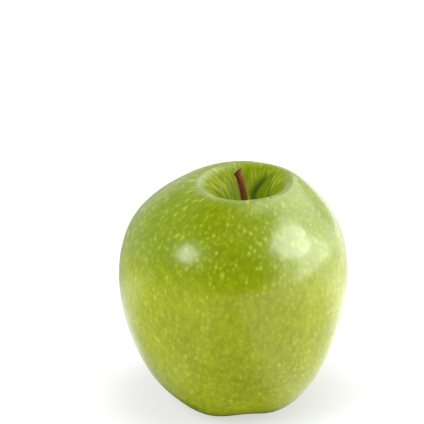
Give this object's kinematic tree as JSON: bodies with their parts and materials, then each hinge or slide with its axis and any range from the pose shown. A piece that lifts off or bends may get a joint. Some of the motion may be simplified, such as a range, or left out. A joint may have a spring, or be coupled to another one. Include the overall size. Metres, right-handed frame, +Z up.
{
  "type": "apple",
  "caption": "Whole green apple: broad rounded shoulders tapering to a lobed base, a short cut woody stalk in its cavity, and a dried calyx in the basin underneath.",
  "frame": {"origin": "on the resting plane, under the middle of the fruit's bounding box", "axes": "+Z up along the fruit's own axis, from the base to the stalk; -Y towards the side that the picture shows; +X to the right in the picture, the side that the stalk cavity leans to"},
  "size_m": [0.076, 0.076, 0.0813],
  "materials": {
    "peel": "semi-gloss waxy green apple peel with pale lenticel dots",
    "stalk": "rough reddish-brown fresh stalk, darker at its cut end",
    "dried_sepal": "matt dried leaf, grey-brown",
    "dried_thread": "matt dried threads, dark brown"
  },
  "bodies": {
    "root": {"fruit": "peel", "stem": "stalk", "calyx": "dried_sepal", "stamens": "dried_thread"}
  },
  "joints": []
}
